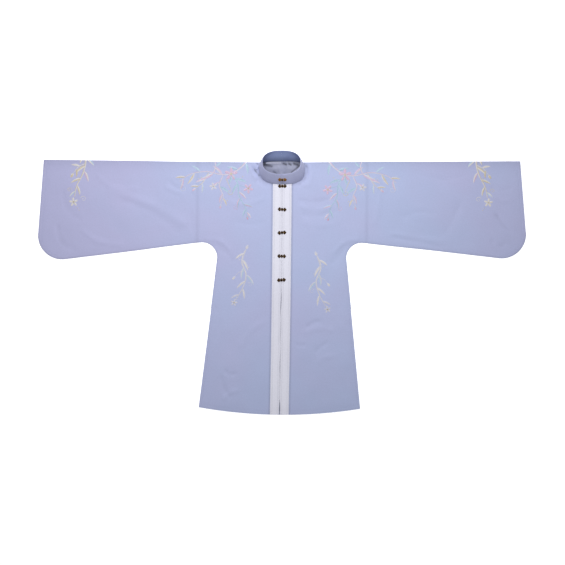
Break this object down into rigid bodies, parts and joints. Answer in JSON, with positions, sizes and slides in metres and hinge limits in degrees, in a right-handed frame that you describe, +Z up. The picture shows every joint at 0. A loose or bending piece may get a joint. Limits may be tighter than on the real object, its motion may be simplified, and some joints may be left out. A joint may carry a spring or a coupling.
{
  "type": "stand-collar long jacket",
  "caption": "Long jacket with a stand collar, meeting front edges with pale plackets and metal clasps, and wide round-cornered sleeves, laid flat face up.",
  "frame": {"origin": "centre of the laid-out jacket's footprint, at the level of the table it lies on", "axes": "+X towards the wearer's left cuff, along the sleeves; +Y from the hem to the collar; +Z up off the table, out of the jacket's front"},
  "size_m": [1.8682, 1.007, 0.0466],
  "materials": {
    "blue_cloth": "smooth woven, soft sheen",
    "collar_cloth": "smooth woven, stiffened",
    "white_cloth": "smooth woven, soft sheen",
    "facing_cloth": "plain woven, matt",
    "clasp_metal": "aged bronze, polished on the high points"
  },
  "bodies": {
    "root": {"body_panel_left": "blue_cloth", "body_panel_right": "blue_cloth", "sleeve_left": "blue_cloth", "sleeve_right": "blue_cloth", "collar_left": "collar_cloth", "collar_right": "collar_cloth", "placket_left": "white_cloth", "placket_right": "white_cloth", "neck_facing_left": "facing_cloth", "neck_facing_right": "facing_cloth", "clasp_1_ring": "clasp_metal", "clasp_1_knob": "clasp_metal", "clasp_2_ring": "clasp_metal", "clasp_2_knob": "clasp_metal", "clasp_3_ring": "clasp_metal", "clasp_3_knob": "clasp_metal", "clasp_4_ring": "clasp_metal", "clasp_4_knob": "clasp_metal", "clasp_5_ring": "clasp_metal", "clasp_5_knob": "clasp_metal", "clasp_6_ring": "clasp_metal", "clasp_6_knob": "clasp_metal"}
  },
  "joints": []
}
